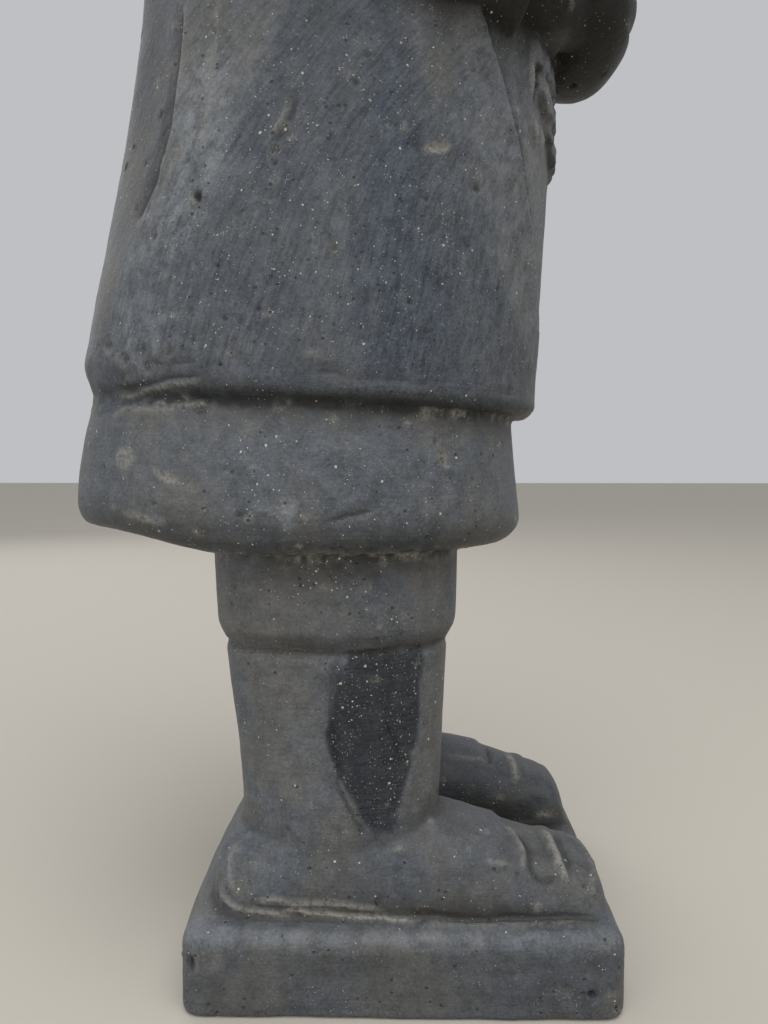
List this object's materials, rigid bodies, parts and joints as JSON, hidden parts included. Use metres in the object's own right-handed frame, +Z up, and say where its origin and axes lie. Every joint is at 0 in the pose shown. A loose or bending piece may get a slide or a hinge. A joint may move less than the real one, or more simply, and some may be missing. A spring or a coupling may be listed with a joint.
{
  "type": "terracotta warrior statue",
  "caption": "Small moulded clay statue of an ancient armoured general standing on a square plinth, hands folded at the belly.",
  "frame": {"origin": "middle of the plinth's underside", "axes": "+Z up; -Y is the way the figure faces; -X is the figure's own right hand side"},
  "size_m": [0.086, 0.0878, 0.25],
  "materials": {
    "fired_clay": null
  },
  "bodies": {
    "root": {"warrior_statue": "fired_clay"}
  },
  "joints": []
}
